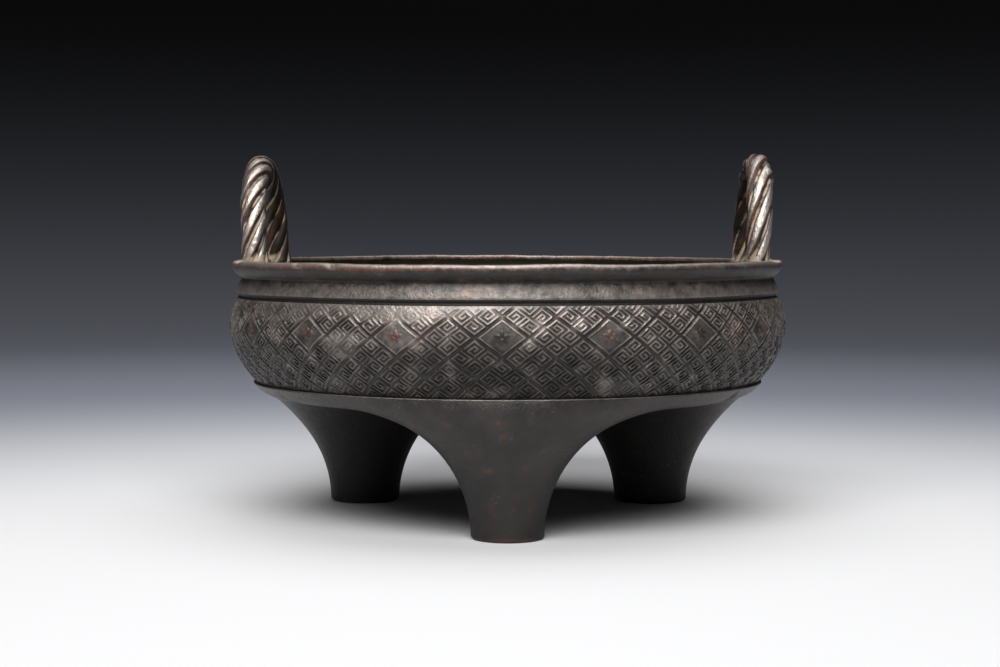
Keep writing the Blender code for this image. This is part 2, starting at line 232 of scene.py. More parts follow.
def clouds(points, size, seed=0.0):
    """Smooth noise from -1 to 1 at each point, with features of the given size."""
    shift = Vector((seed, seed * 0.37, -seed * 0.61))
    return np.array([noise.noise(Vector(p) / size + shift) for p in points])


def smooth(low, high, values):
    """0 below low, 1 above high, eased between."""
    t = np.clip((values - low) / (high - low), 0, 1)
    return t * t * (3 - 2 * t)


def hill(distance, width):
    """1 where the distance is 0, and almost 0 from twice the width on."""
    return np.exp(-((distance / width) ** 2))


# Mesh helpers

MERGE = 0.00003
FINE_MERGE = 0.000001
FLOOR_MERGE = 0.0005
CREASE = 60
BOWL_CREASE = 40


def new_object(name, data):
    obj = bpy.data.objects.new(name, data)
    bpy.context.scene.collection.objects.link(obj)
    return obj


def mesh_object(name, points, faces, edges=()):
    mesh = bpy.data.meshes.new(name)
    mesh.from_pydata([tuple(p) for p in points], edges, faces)
    return new_object(name, mesh)


def coordinates(obj):
    values = np.zeros(len(obj.data.vertices) * 3)
    obj.data.vertices.foreach_get("co", values)
    return values.reshape(-1, 3)


def set_coordinates(obj, points):
    obj.data.vertices.foreach_set("co", points.ravel())
    obj.data.update()


def mark(obj, name, values):
    """Stores one value for each vertex, for the material to read."""
    attribute = obj.data.attributes.new(name, "FLOAT", "POINT")
    attribute.data.foreach_set("value", np.clip(values, 0, 1))


def only(obj):
    """Makes one object active and the only one selected."""
    bpy.ops.object.select_all(action="DESELECT")
    obj.select_set(True)
    bpy.context.view_layer.objects.active = obj


def tidy_mesh(obj, distance, inside=False):
    """Merges doubles and turns every face outwards, or inwards."""
    only(obj)
    bpy.ops.object.mode_set(mode="EDIT")
    bpy.ops.mesh.select_all(action="SELECT")
    bpy.ops.mesh.remove_doubles(threshold=distance)
    bpy.ops.mesh.normals_make_consistent(inside=inside)
    bpy.ops.object.mode_set(mode="OBJECT")


def spun(name, profile, steps):
    """What a profile of (radius, height) sweeps in a full turn, before its doubles are merged."""
    edges = [(i, i + 1) for i in range(len(profile) - 1)]
    obj = mesh_object(name, [(radius, 0, height) for radius, height in profile], [], edges)
    only(obj)
    bpy.ops.object.mode_set(mode="EDIT")
    bpy.ops.mesh.select_all(action="SELECT")
    bpy.ops.mesh.spin(steps=steps, angle=math.tau, center=(0, 0, 0), axis=(0, 0, 1))
    bpy.ops.object.mode_set(mode="OBJECT")
    return obj


def finish_piece(obj, material, crease=CREASE):
    """Smooths a piece, except at edges sharper than the crease, and says what it is made of."""
    only(obj)
    bpy.ops.object.shade_smooth_by_angle(angle=math.radians(crease))
    obj.data.materials.append(material)
    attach(obj, "root")
    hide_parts("censer")


# Shader maths


class Signal:
    """A shader socket that Python's own signs act on."""

    def __init__(self, sheet, socket):
        self.sheet = sheet
        self.socket = socket

    def _math(self, operation, *values):
        return self.sheet.add("ShaderNodeMath", {"operation": operation}, dict(enumerate(values)))

    def __add__(self, other):
        return self._math("ADD", self, other)

    __radd__ = __add__

    def __sub__(self, other):
        return self._math("SUBTRACT", self, other)

    def __rsub__(self, other):
        return self._math("SUBTRACT", other, self)

    def __mul__(self, other):
        return self._math("MULTIPLY", self, other)

    __rmul__ = __mul__

    def eased(self, low, high):
        """0 below low, 1 above high, eased between."""
        settings = {"interpolation_type": "SMOOTHSTEP"}
        return self.sheet.add("ShaderNodeMapRange", settings, {0: self, 1: low, 2: high})


class Sheet:
    """A material's nodes, added one at a time by type, settings and sockets."""

    def __init__(self, name):
        self.material = bpy.data.materials.new(name)
        self.material.use_nodes = True
        self.tree = self.material.node_tree
        self.shader = self.tree.nodes["Principled BSDF"]

    def plug(self, socket, value):
        if isinstance(value, Signal):
            self.tree.links.new(value.socket, socket)
        elif socket.type == "RGBA" and len(value) == 3:
            socket.default_value = (*value, 1)
        else:
            socket.default_value = value

    def add(self, kind, settings=None, sockets=None, output=0):
        node = self.tree.nodes.new(kind)
        for key, value in (settings or {}).items():
            setattr(node, key, value)
        for key, value in (sockets or {}).items():
            self.plug(node.inputs[key], value)
        return Signal(self, node.outputs[output])

    def noise(self, place, size, detail, rough=0.55):
        sockets = {"Vector": place, "Scale": 1 / size, "Detail": detail, "Roughness": rough}
        return self.add("ShaderNodeTexNoise", None, sockets)

    def attribute(self, name):
        return self.add("ShaderNodeAttribute", {"attribute_name": name}, output="Fac")

    def mix(self, factor, first, second):
        sockets = {"Factor": factor, 6: first, 7: second}
        return self.add("ShaderNodeMix", {"data_type": "RGBA"}, sockets, output=2)

    def bump(self, height, distance):
        return self.add("ShaderNodeBump", None, {"Height": height, "Distance": distance})


# Sizes of the patina's clouds, blotches, mottling and pits, and the pits' depth

BROAD = 0.020
MIDDLE = 0.0052
FINE = 0.0019
GRAIN = 0.00065
GRAIN_DEPTH = 0.00019


def patina(name, colours, grain_depth=1.0, shine=1.0):
    """Cast bronze: cloudy brown, pitted, rubbed down to the metal or to copper, pale dirt in its
    hollows, with painted shade and painted highlights where the marks put them.
    """
    sheet = Sheet(name)
    place = sheet.add("ShaderNodeTexCoord", output="Object")
    broad = sheet.noise(place, BROAD, 4)
    middle = sheet.noise(place, MIDDLE, 4, 0.6)
    fine = sheet.noise(place, FINE, 5, 0.65)
    grain = sheet.noise(place, GRAIN, 3, 0.6)
    mottle, blotch, drift = (k - 0.5 for k in (fine, middle, broad))
    marks = ("copper", "bare", "pale", "olive", "deep")
    copper, bare, pale, olive, deep = (sheet.attribute(k) for k in marks)
    cloud = (broad * 0.5 + middle * 0.3 + fine * 0.2).eased(0.40, 0.60)
    body = sheet.mix(cloud, colours.dark, colours.brown)
    body = sheet.mix((olive + blotch).eased(0.2, 0.8), body, colours.olive)
    red = (copper + blotch * 1.3 + mottle * 0.9 + drift * 0.8).eased(0.42, 0.95)
    body = sheet.mix(red, body, colours.copper)
    # The rubbed share is worn metal and also painted highlights, as the marks give them.
    rubbed = (bare + mottle * 0.5 + blotch * 0.35).eased(0.15, 1.0)
    body = sheet.mix(rubbed, body, tuple(c * shine for c in colours.bare))
    dusty = (pale + mottle * 0.9 + blotch * 0.8).eased(0.40, 0.90)
    # Painted shade: marked places darkened towards a very dark brown.
    body = sheet.mix(deep * 0.9, body, tuple(c * 0.35 for c in colours.dark))
    specks = (grain + blotch * 0.7).eased(0.70, 0.80) * 0.16
    body = sheet.mix(specks, body, colours.residue)
    body = sheet.mix(dusty, body, colours.residue)
    rough = 0.40 + mottle * 0.26 + drift * 0.16 + dusty * 0.35 - rubbed * 0.04 + deep * 0.22
    sheet.plug(sheet.shader.inputs["Base Color"], body)
    sheet.plug(sheet.shader.inputs["Roughness"], rough)
    sheet.plug(sheet.shader.inputs["Metallic"], (0.25 + rubbed * 0.65) * (1.0 - dusty))
    relief = (grain + fine * 1.4) * (1.0 - olive * 0.7)
    sheet.plug(sheet.shader.inputs["Normal"], sheet.bump(relief, GRAIN_DEPTH * grain_depth))
    return sheet.material


# Bowl, lip and legs

# (place, way the metal is pushed, radius, depth) of the larger nicks
NICKS = (
    ((-0.0430, 0.0780, 0.0833), (0, 0, -1), 0.0019, 0.0007),
    ((-0.0630, -0.0642, 0.0830), (0.5, 0.5, -0.7), 0.0013, 0.0005),
    ((-0.0522, -0.0733, 0.0830), (0.4, 0.6, -0.7), 0.0013, 0.0005),
    ((0.0723, 0.0260, 0.0215), (-0.9, -0.3, 0.2), 0.0018, 0.0007),
)
NEAR_LEFT = math.radians(-128)
LEG_SHADE = (0.058, 0.078)
TURN_STEPS = 432
BELLY_STEPS = 9
CORNER_STEPS = 5
PROFILE_GAP = 0.0013
FLOOR_GAP = 0.0035
LEG_STEPS = 34
SIDE_RAYS = 22
SEARCH_STEPS = 160
HALVINGS = 34


def rounded(points):
    """A polyline of (radius, height) with each corner rounded off by its own third value."""
    path = []
    for i, (radius, height, cut) in enumerate(points):
        here = np.array((radius, height))
        if cut == 0 or i in (0, len(points) - 1):
            path.append(here)
            continue
        before = np.array(points[i - 1][:2]) - here
        after = np.array(points[i + 1][:2]) - here
        start = here + before * min(cut / np.linalg.norm(before), 0.48)
        end = here + after * min(cut / np.linalg.norm(after), 0.48)
        for t in np.linspace(0, 1, CORNER_STEPS):
            path.append((1 - t) ** 2 * start + 2 * t * (1 - t) * here + t * t * end)
    return path


def spaced(path, gap):
    """The same polyline with no stretch longer than the gap."""
    result = [path[0]]
    for start, end in zip(path, path[1:]):
        count = max(1, math.ceil(np.linalg.norm(end - start) / gap))
        result += [start + (end - start) * k / count for k in range(1, count + 1)]
    return result


def bowl_profile(form):
    """(radius, height, corner) from the base's edge over the lip and down to the middle inside."""
    s = form.sizes
    sunk = s.groove_depth
    outside = [
        (form.base_radius, form.base_top, 0),
        (form.base_radius - 0.0001, form.base_top + 0.0003, 0.0001),
        (form.foot_radius - sunk, form.base_top + 0.0004, 0.0001),
    ]
    for i in range(BELLY_STEPS + 1):
        height = form.belly_foot + (form.belly_top - form.belly_foot) * i / BELLY_STEPS
        outside.append((form.belly(height) - sunk, height, 0))
    outside += [
        (form.collar - sunk - 0.0003, form.belly_top + s.groove_width, 0.0001),
        (form.collar - 0.0001, form.collar_foot - 0.0004, 0.0003),
        (form.collar, form.collar_foot + 0.0002, 0.0005),
        (form.collar - 0.0008, form.collar_foot + 0.0024, 0.0012),
        (form.neck, form.neck_top - 0.0006, 0.0004),
        (form.neck, form.neck_top, 0.0002),
        (form.neck + 0.0016, form.neck_top + 0.0009, 0.0008),
        (form.lip, form.lip_foot + 0.0004, 0.0010),
        (form.lip, form.rim, 1.8 * s.lip_round),
        (form.lip - 0.0032, form.rim, 0.001),
        (form.mouth, form.rim, 0.0007),
        (form.mouth, form.lip_foot + s.lip_thickness / 2, 0.0006),
        (form.neck - s.neck_wall, form.lip_foot, 0.0006),
        (form.neck - s.neck_wall, form.neck_top, 0.001),
        (form.collar - s.wall, form.collar_foot, 0.001),
    ]
    turn = form.bowl_floor + s.floor_corner
    for row in (form.diaper.rows, form.diaper.flower_row, form.diaper.flower_row - 1):
        height = form.belly_foot + row * form.diaper.step
        outside.append((form.belly(height) - s.wall, height, 0.002))
    wall_end = form.belly(turn) - s.wall
    corner = wall_end - form.belly_slope(turn) * s.floor_corner
    outside += [(corner, form.bowl_floor, s.floor_corner), (0.0, form.bowl_floor, 0)]
    path = rounded(outside)
    return spaced(path[:-1], PROFILE_GAP) + spaced(path[-2:], FLOOR_GAP)[1:]


def soft_max(a, b, softness):
    """The greater of two values, with the corner between them rounded off."""
    blend = np.maximum(softness - np.abs(a - b), 0)
    return np.maximum(a, b) + blend * blend / (4 * softness)


def first_crossing(test, high):
    """For each entry, the lowest value from 0 to high at which test stops being above 0."""
    low = np.zeros_like(high)
    found = high.copy()
    open_ = np.ones(high.shape, bool)
    for step in range(SEARCH_STEPS + 1):
        value = high * step / SEARCH_STEPS
        hit = open_ & (test(value) <= 0)
        found[hit] = value[hit]
        open_ &= ~hit
        low[open_] = value[open_]
    for _ in range(HALVINGS):
        middle = (low + found) / 2
        above = test(middle) > 0
        low = np.where(above, middle, low)
        found = np.where(above, found, middle)
    return found


class Leg:
    """The underside of one third of the bowl, drawn down into a trumpet leg."""

    def __init__(self, form, bearing, foot_radius):
        s = form.sizes
        self.form = form
        self.bearing = bearing
        self.foot = foot_radius
        self.half = math.pi / 3
        self.arch = s.foot_circle * math.sin(self.half)
        self.softness = s.leg_softness
        above = np.array([s.underside - form.base_top])
        most = np.array([self.softness])
        extra = first_crossing(lambda gap: soft_max(above, -gap, self.softness), most)
        self.limit = form.base_radius + extra[0]

    def void(self, reach, bearing, height):
        """How deep a point lies in the air beside the leg, and below 0 in the bronze."""
        s = self.form.sizes
        x = s.foot_circle + reach * np.cos(bearing)
        y = reach * np.sin(bearing)
        across = np.maximum(self.arch - reach, 0) / (self.arch - self.foot)
        beside = s.underside * (1 - np.hypot(across, height / s.underside))
        return soft_max(beside, np.hypot(x, y) - self.limit, self.softness)

    def edge(self):
        """(bearing, reach, height) all the way round the third's edge."""
        s = self.form.sizes
        count = TURN_STEPS // 3
        turn = (2 * np.arange(count + 1) / count - 1) * self.half
        x = self.form.base_radius * np.cos(turn) - s.foot_circle
        y = self.form.base_radius * np.sin(turn)
        level = np.full(len(x), self.form.base_top)
        outer = np.stack([np.arctan2(y, x), np.hypot(x, y), level], 1)
        corner = outer[-1, 0]
        slant = math.tan(self.half)
        bearing = corner + (math.pi - corner) * np.arange(1, SIDE_RAYS + 1) / SIDE_RAYS
        reach = slant * s.foot_circle / (np.sin(bearing) - slant * np.cos(bearing))
        high = np.full(len(reach), self.form.base_top)
        height = first_crossing(lambda z: self.void(reach, bearing, z), high)
        side = np.stack([bearing, reach, height], 1)
        return np.concatenate([outer, side, side[-2::-1] * (-1, 1, 1)])

    def points(self):
        """Rows of points round the leg, from the foot's edge out to the third's edge."""
        s = self.form.sizes
        bearing, reach, height = self.edge().T
        start = math.pi - math.atan2(s.foot_edge, self.arch - self.foot)
        end = np.arctan2(height, reach - self.arch)
        rows = [np.stack([np.full(len(reach), self.foot - s.foot_edge), np.zeros(len(reach))], 1)]
        for i in range(LEG_STEPS):
            slope = start + (end - start) * i / LEG_STEPS
            run, rise = np.cos(slope), np.sin(slope)
            high = np.full(len(reach), 2 * (self.arch + s.underside))
            out = first_crossing(
                lambda t: self.void(np.abs(self.arch + t * run), bearing, t * rise), high
            )
            rows.append(np.stack([self.arch + out * run, out * rise], 1))
        grid = np.stack(rows + [np.stack([reach, height], 1)])
        x = s.foot_circle + grid[..., 0] * np.cos(bearing)
        y = grid[..., 0] * np.sin(bearing)
        c, sn = math.cos(self.bearing), math.sin(self.bearing)
        return np.stack([x * c - y * sn, x * sn + y * c, grid[..., 1]], -1)


def add_legs(obj, form):
    """Adds the three legs to the bowl's mesh."""
    s = form.sizes
    bm = bmesh.new()
    bm.from_mesh(obj.data)
    for i, foot in enumerate((s.foot_front, s.foot_right, s.foot_left)):
        grid = Leg(form, FRONT + i * math.radians(120), foot).points()
        rows = [[bm.verts.new(p) for p in row] for row in grid]
        count = len(rows[0])
        for lower, upper in zip(rows, rows[1:]):
            for k in range(count):
                after = (k + 1) % count
                bm.faces.new((lower[k], lower[after], upper[after], upper[k]))
        bm.faces.new(rows[0])
    bm.to_mesh(obj.data)
    bm.free()


def model_bowl(form):
    """Spins the bowl's profile a full turn and draws the legs down from its base."""
    bowl = spun("bowl", bowl_profile(form), TURN_STEPS)
    tidy_mesh(bowl, MERGE)
    add_legs(bowl, form)
    tidy_mesh(bowl, MERGE)
    return bowl


def weather_bowl(bowl, form, rope):
    """Small dents and nicks on the edges, where the bronze is rubbed or holds dirt, and where
    painted shade and painted highlights go.
    """
    points = coordinates(bowl)
    reach = np.hypot(points[:, 0], points[:, 1])
    height = points[:, 2].copy()
    bearing = np.arctan2(points[:, 1], points[:, 0])
    outside = reach > form.mouth
    lip = smooth(form.neck_top, form.lip_foot, height) * outside
    neck = smooth(form.belly_top, form.collar_foot, height) * (1 - lip) * outside
    dents = clouds(points, 0.006, 3.1) * 0.6 + clouds(points, 0.0023, 8.7) * 0.4
    soft = clouds(points, 0.018, 5.5)
    points[:, 2] += lip * (dents * 0.00018 + soft * 0.00030) - lip * 0.0001
    shift = lip * (dents * 0.00016 + soft * 0.00015) + neck * (dents * 0.00010 + soft * 0.00012)
    points[:, :2] *= (1 + shift / np.maximum(reach, 0.01))[:, None]
    nicked = np.zeros(len(points))
    for place, way, radius, depth in NICKS:
        share = hill(np.linalg.norm(points - place, axis=1), radius)
        points += share[:, None] * np.array(way) * depth
        nicked = np.maximum(nicked, share)
    set_coordinates(bowl, hand_made(points))
    high = smooth(form.lip_foot, form.rim, height)
    roll = hill(reach - form.lip + 0.0006, 0.0009) * high
    mouth = hill(reach - form.mouth - 0.0003, 0.0008) * high
    top = smooth(form.rim - 0.0012, form.rim - 0.0001, height)
    base = np.abs(height - form.base_top - 0.0003) < 0.0002
    base &= reach > form.base_radius - 0.0004
    feet = 1 - smooth(0.0002, 0.0020, height)
    apart = np.abs(np.abs(points[:, 0]) - (form.lip - rope.inset))
    seats = hill(np.maximum(np.abs(points[:, 1]) - rope.span / 2, 0), 0.008)
    seats *= 1 - smooth(rope.radius, rope.radius + 0.006, apart)
    wall = np.where(height > form.belly_top, form.neck - 0.0011, form.belly(height) - 0.0018)
    inner = (reach < wall) & (height > form.bowl_floor - 0.0001)
    inner &= height < form.lip_foot + 0.0012
    cuts = (height > form.belly_top - 0.0003) & (height < form.collar_foot - 0.0002)
    cuts |= (height > form.base_top + 0.00035) & (height < form.belly_foot + 0.0002)
    under_lip = smooth(form.neck_top - 0.0008, form.neck_top, height)
    under_lip *= 1 - smooth(form.lip_foot - 0.0004, form.lip_foot + 0.0008, height)
    between_legs = (height < form.base_top) * (1 - smooth(*LEG_SHADE, reach))
    near_left = hill(bearing - NEAR_LEFT, 0.55)
    low_neck = 1 - smooth(form.collar_foot, form.neck_top, height)
    # Rubbed metal on the lip's roll and the nicks; rubbed metal and painted highlight on the
    # mouth's edge; painted highlight along the base's edge and on the neck, less towards its top,
    # where the lip's shadow falls.
    rubbed = roll * 0.9 + 0.55 * base + 0.65 * mouth + (0.28 + 0.20 * low_neck) * neck
    mark(bowl, "bare", rubbed + 0.6 * nicked)
    face = smooth(form.lip_foot + 0.0004, form.lip_foot + 0.0012, height) * outside
    flecks = smooth(0.15, 0.45, clouds(points, 0.0040, 7.7)) * (height < form.base_top)
    red = 0.10 + face * (0.42 + 0.5 * near_left) + 0.5 * feet + 0.25 * neck + 0.35 * mouth
    mark(bowl, "copper", red + 0.42 * flecks)
    stain = 0.34 * smooth(0.05, 0.5, clouds(points, 0.021, 6.6)) * inner
    mark(bowl, "pale", top * (0.26 + 1.1 * seats) + 0.12 * neck + 0.3 * nicked + stain)
    mark(bowl, "olive", 0.9 * inner)
    # Painted shade: darker in the cut lines, under the lip, on everything below the base and most
    # between the legs.
    below = (height < form.base_top - 0.0002) * (0.17 + 0.76 * between_legs)
    mark(bowl, "deep", outside * (0.9 * cuts + 0.45 * under_lip) + below)


# Carved diaper

FRET_RUNS = (6, 6, 6, 4, 4, 2, 2)
FRET_SIZE = 7
CELL_UNITS = 2 * FRET_SIZE + 1
VARIANTS = 8
VARIANT_SEED = 7
CHANNEL = -1
DITCH = 0.75
LINE_SLOPE = 1.3
GROOVE_SLOPE = 0.4
PETALS = 5
PETAL_HEIGHT = 1.15
FLOWER_GROUND = 0.25
EYE_DEPTH = 0.7
MOST_WORN = 0.92
RING_ROWS = (0.0, 1.55, 3.2, 4.5)
RING_NAMES = ("diaper_lower", "diaper_middle", "diaper_upper")
# (bearing in degrees, height, reach round in degrees, reach up, strength) of worn patches
WORN_PATCHES = (
    (-111, 0.0705, 15, 0.0040, 0.92),
    (-138, 0.0690, 14, 0.0030, 0.55),
    (-123, 0.0595, 5, 0.0045, 0.60),
    (-98, 0.0712, 9, 0.0018, 0.60),
    (-68, 0.0470, 6, 0.0030, 0.45),
    (35, 0.0660, 12, 0.0050, 0.55),
    (140, 0.0560, 9, 0.0060, 0.60),
)


def fret(turn, flip):
    """A square spiral, True where its raised line runs."""
    marks = np.zeros((FRET_SIZE, FRET_SIZE), bool)
    place = np.array((0, 0))
    marks[0, 0] = True
    headings = np.array(((1, 0), (0, 1), (-1, 0), (0, -1)))
    for leg, steps in enumerate(FRET_RUNS):
        for _ in range(steps):
            place = place + headings[leg % 4]
            marks[tuple(place)] = True
    marks = np.rot90(marks, turn)
    return marks[::-1] if flip else marks


def fret_cell(variant):
    """Four frets of one lozenge, two of them joined."""
    marks = np.zeros((CELL_UNITS, CELL_UNITS), bool)
    far = FRET_SIZE + 1
    for k, (x, y) in enumerate(((0, 0), (far, 0), (far, far), (0, far))):
        marks[x : x + FRET_SIZE, y : y + FRET_SIZE] = fret(variant + k, (variant + k // 2) % 2)
    join = (0, FRET_SIZE - 1, far, CELL_UNITS - 1)[variant % 4]
    if variant % 2:
        marks[join, FRET_SIZE] = True
    else:
        marks[FRET_SIZE, join] = True
    return marks


class Carving:
    """The lozenge net as a grid of points whose lines follow the carved lines."""

    def __init__(self, form):
        d = self.diaper = form.diaper
        self.form = form
        across = math.pi * form.sizes.belly_radius / d.lozenges
        self.width = 2 * across * d.step / math.hypot(across, d.step)
        unit = (self.width - 2 * d.channel) / CELL_UNITS
        edge = d.channel - d.bevel
        lines = [(0, CHANNEL), (edge / 2, CHANNEL), (edge, CHANNEL)]
        for k in range(CELL_UNITS):
            start = d.channel + k * unit
            slope = d.bevel * (GROOVE_SLOPE if k % 2 else LINE_SLOPE)
            lines += [(start + slope, k), (start + unit - slope, k)]
        lines += [(self.width - edge, CHANNEL), (self.width - edge / 2, CHANNEL)]
        self.lines = np.array([place / self.width for place, _ in lines])
        self.kinds = np.array([kind for _, kind in lines])
        self.count = len(lines)

    def raised(self, inner):
        """Height of one lozenge's points from 0 to 1, and below 0 in the lattice's channel."""
        x, y = np.meshgrid(self.kinds, self.kinds, indexing="ij")
        up = inner[np.maximum(x, 0), np.maximum(y, 0)]
        away = np.minimum(self.lines, 1 - self.lines) * self.width / self.diaper.channel
        nearest = np.minimum(*np.meshgrid(away, away, indexing="ij"))
        ditch = DITCH * (smooth(0.0, 1.0, nearest) - 1)
        return np.where((x == CHANNEL) | (y == CHANNEL), ditch, up)

    def flower(self):
        """Heights of one flowered lozenge's points, and the share of each that is petal."""
        d = self.diaper
        u, v = np.meshgrid(self.lines - 0.5, self.lines - 0.5, indexing="ij")
        up = (u + v) * d.step
        side = (u - v) / 2 * math.tau / d.lozenges * self.form.sizes.belly_radius
        lobes = 0.80 + 0.20 * np.cos(PETALS * (np.arctan2(up, side) - math.pi / 2))
        reach = np.hypot(up * 1.15, side) / (d.flower_radius * lobes)
        petals = 1 - smooth(0.80, 1.10, reach)
        eye = 1 - smooth(0.18, 0.34, reach)
        border = np.zeros((CELL_UNITS, CELL_UNITS), bool)
        border[[0, -1], :] = border[:, [0, -1]] = True
        framed = self.raised(border)
        inner = (self.kinds > 0) & (self.kinds < CELL_UNITS - 1)
        middle = np.ix_(inner, inner)
        height = FLOWER_GROUND + (PETAL_HEIGHT - FLOWER_GROUND) * petals - EYE_DEPTH * eye
        framed[middle] = height[middle]
        return framed, petals

    def index(self, row, column, a, b):
        """Number of the point (a, b) of the lozenge at a row and a doubled column."""
        past_a, past_b = a // self.count, b // self.count
        column = (column + past_a - past_b) % (2 * self.diaper.lozenges) // 2
        cell = (row + past_a + past_b) * self.diaper.lozenges + column
        return (cell * self.count + a % self.count) * self.count + b % self.count

    def build(self):
        """All points as (lozenges round, rows up, height above the surface, petal share)."""
        d = self.diaper
        rng = np.random.default_rng(VARIANT_SEED)
        fretted = [self.raised(fret_cell(k)) for k in range(VARIANTS)]
        flowered, petals = self.flower()
        front = 2 * (3 * d.lozenges // 4)
        u, v = np.meshgrid(self.lines, self.lines, indexing="ij")
        grid = []
        for row in range(d.rows + 4):
            for k in range(d.lozenges):
                column = 2 * k + (row + 1) % 2
                variant = int(rng.integers(VARIANTS))
                if row == d.flower_row and (column - front) % 4 == 0:
                    height, petal = flowered, petals
                else:
                    height, petal = fretted[variant], petals * 0
                across = column / 2 + (u - v) / 2
                cell = [across, row - 1 + u + v, (height - 1) * d.depth, petal]
                grid.append(np.stack(cell, -1).reshape(-1, 4))
        return np.concatenate(grid)

    def faces(self):
        """The four points of each face, joined over the lozenges' shared edges."""
        a, b = np.meshgrid(np.arange(self.count), np.arange(self.count), indexing="ij")
        around = ((a, b), (a + 1, b), (a + 1, b + 1), (a, b + 1))
        parts = []
        for row in range(self.diaper.rows + 2):
            for k in range(self.diaper.lozenges):
                column = 2 * k + (row + 1) % 2
                corners = [self.index(row, column, i, j).ravel() for i, j in around]
                parts.append(np.stack(corners, 1))
        return np.concatenate(parts)


def worn(bearing, height):
    """How far the carving is worn away, from 0 to 1."""
    total = np.zeros(len(bearing))
    for middle, level, reach, tall, strength in WORN_PATCHES:
        apart = (bearing - math.radians(middle) + math.pi) % math.tau - math.pi
        far = np.hypot(apart / math.radians(reach), (height - level) / tall)
        total = np.maximum(total, strength * (1 - smooth(0.55, 1.25, far)))
    return total


def carve(form):
    """The carved belly all the way round: its points, their levels, the faces and the marks."""
    carving = Carving(form)
    d = form.diaper
    grid = carving.build()
    bearing = d.turn + grid[:, 0] * math.tau / d.lozenges
    level = form.belly_foot + grid[:, 1] * d.step
    girth = form.sizes.belly_radius
    place = np.stack([girth * np.cos(bearing), girth * np.sin(bearing), level], 1)
    slow = clouds(place, 0.013, 2.3)
    quick = clouds(place, 0.0016, 6.1)
    patchy = clouds(place, 0.0042, 11.5)
    petal = grid[:, 3]
    lost = worn(bearing, level) + 0.25 * smooth(0.1, 0.6, slow) + 0.35 * smooth(0.15, 0.6, patchy)
    lost += 0.55 * smooth(d.rows + 0.28, d.rows + 0.45, grid[:, 1])
    lost = np.clip(lost, 0, MOST_WORN)
    relief = grid[:, 2] * (1 - lost) - d.depth * 0.25 * lost + (quick + patchy) * 0.00005
    bearing = bearing + clouds(place, 0.0045, 9.4) * 0.00016 / girth
    inside = smooth(0.0, 0.6, np.minimum(grid[:, 1], d.rows + 0.5 - grid[:, 1]))
    level = level + clouds(place, 0.0050, 4.2) * 0.00014 * inside
    radius = form.belly(level) + relief
    points = np.stack([radius * np.cos(bearing), radius * np.sin(bearing), level], 1)
    cut = np.clip(-grid[:, 2] / d.depth, 0, 1.3) * (1 - lost)
    upper = smooth(1.6, 3.6, grid[:, 1])
    aside = smooth(0.45, 1.05, np.abs((bearing - FRONT + math.pi) % math.tau - math.pi))
    shown = (1 - 0.55 * petal) * (1 - 0.28 * aside)
    marks = {
        "copper": 0.10 + 0.40 * petal + (0.24 + 0.20 * cut) * upper + 0.25 * slow,
        # Bare metal on the raised lines, less in the cuts, with a painted highlight over the whole
        # belly, strongest on the upper rows and towards the front.
        "bare": (0.30 + 0.34 * upper) * (1 - 0.38 * cut) * shown + 0.12 * patchy,
        # Painted shade in the cut channels, more on the upper rows, less on the flowers.
        "deep": (0.36 + 0.14 * upper) * cut * (1 - 0.6 * petal),
    }
    return points, level, carving.faces(), marks


def cut_level(bm, height, above):
    """Cuts a mesh at a height and takes away what is above it, or below."""
    geometry = bm.verts[:] + bm.edges[:] + bm.faces[:]
    plane = {"plane_co": (0, 0, height), "plane_no": (0, 0, 1), "dist": 1e-7}
    sides = {"clear_outer": above, "clear_inner": not above}
    bmesh.ops.bisect_plane(bm, geom=geometry, **plane, **sides)


def close_ring(bm, depth):
    """Gives a carved ring its thickness: walls inwards from both edges, and a back."""
    rims = [e for e in bm.edges if len(e.link_faces) == 1]
    made = bmesh.ops.extrude_edge_only(bm, edges=rims)["geom"]
    for point in [g for g in made if isinstance(g, bmesh.types.BMVert)]:
        drawn_in = 1 - depth / math.hypot(point.co.x, point.co.y)
        point.co.x *= drawn_in
        point.co.y *= drawn_in
    back = [e for e in bm.edges if len(e.link_faces) == 1]
    bmesh.ops.bridge_loops(bm, edges=back)


def model_ring(name, form, carved, low, high):
    """One ring of the carved belly between two levels."""
    points, level, faces, marks = carved
    bottom = form.belly_foot + low * form.diaper.step
    top = form.belly_foot + high * form.diaper.step
    levels = level[faces]
    keep = faces[(levels.max(1) > bottom) & (levels.min(1) < top)]
    used, compact = np.unique(keep, return_inverse=True)
    ring = mesh_object(name, points[used], compact.reshape(-1, 4).tolist())
    for key, values in marks.items():
        mark(ring, key, values[used])
    bm = bmesh.new()
    bm.from_mesh(ring.data)
    cut_level(bm, top, True)
    cut_level(bm, bottom, False)
    close_ring(bm, form.diaper.thickness)
    bmesh.ops.triangulate(bm, faces=[f for f in bm.faces if len(f.verts) > 4])
    bmesh.ops.recalc_face_normals(bm, faces=bm.faces)
    bm.to_mesh(ring.data)
    bm.free()
    set_coordinates(ring, hand_made(coordinates(ring)))
    return ring


# Rope loops

ROUND_POINTS = 70
ALONG_GAP = 0.00045
END_STEPS = 9
STRAND_SIZES = (1.0, 0.96, 1.02, 0.98, 1.01)
FOOT_FLARE = 0.10
FLARE_HEIGHT = 0.0012
RIGHT_KNOB = (0.0836, -0.0176, 0.1104)
KNOB_RADIUS = 0.0021
KNOB_HEIGHT = 0.0010


